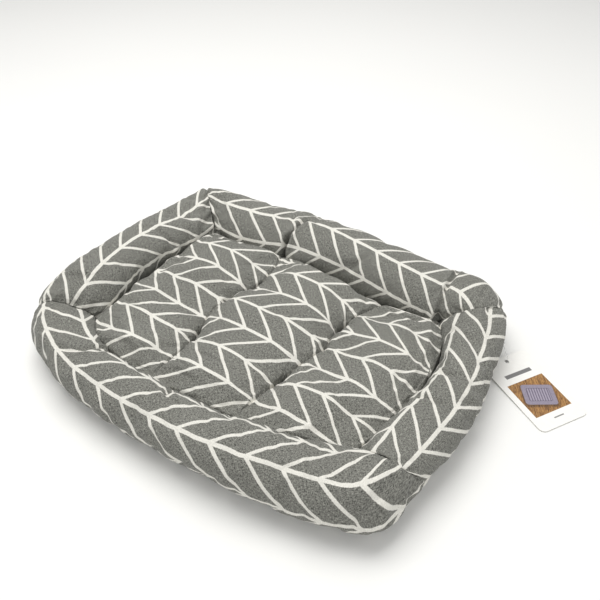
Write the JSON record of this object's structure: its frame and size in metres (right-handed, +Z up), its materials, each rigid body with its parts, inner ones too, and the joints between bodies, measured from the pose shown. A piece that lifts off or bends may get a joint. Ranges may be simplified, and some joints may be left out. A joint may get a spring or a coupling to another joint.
{
  "type": "pet cushion bed",
  "caption": "Low rectangular pet bed: a quilted, tufted pad with a stuffed bolster along each side, mitred at the corners, and a card hang tag on a nylon pin.",
  "frame": {"origin": "on the floor, at the centre of the bed's footprint", "axes": "+Z up, +X along the bed's long side, +Y towards the back bolster; the hang tag lies off the +X side"},
  "size_m": [0.5067, 0.3389, 0.0582],
  "materials": {
    "printed_canvas": "woven canvas, grey with an off-white leaf print",
    "base_cloth": "plain woven base cloth",
    "lining_cloth": "non-woven lining",
    "filling": "loose polyester fibre",
    "thread": "sewing thread",
    "card": "coated white card",
    "nylon": "clear moulded nylon"
  },
  "bodies": {
    "bed": {"base_panel": "base_cloth", "bolster_cover_front": "printed_canvas", "bolster_cover_right": "printed_canvas", "bolster_cover_back": "printed_canvas", "bolster_cover_left": "printed_canvas", "bolster_fill_front": "filling", "bolster_fill_right": "filling", "bolster_fill_back": "filling", "bolster_fill_left": "filling", "pad_cover": "printed_canvas", "pad_fill_left": "filling", "pad_fill_middle": "filling", "pad_fill_right": "filling", "pad_lining": "lining_cloth", "tuft_ties": "thread", "quilting_stitches": "thread", "mitre_stitches": "thread", "pad_seam_stitches": "thread"},
    "tag_pin": {"tag_fastener": "nylon"},
    "tag": {"hang_tag": "card"}
  },
  "joints": [
    {"name": "tag_lift", "type": "hinge", "parent": "bed", "child": "tag_pin", "pos_m": [0.2004, 0.116, 0.0156], "axis": [-0.5151, -0.8571, 0], "range_deg": [0, 38]},
    {"name": "tag_swing", "type": "hinge", "parent": "tag_pin", "child": "tag", "pos_m": [0.21, 0.109, 0.0019], "axis": [0.0135, -0.0081, 0.9999], "range_deg": [-4, 35]}
  ]
}
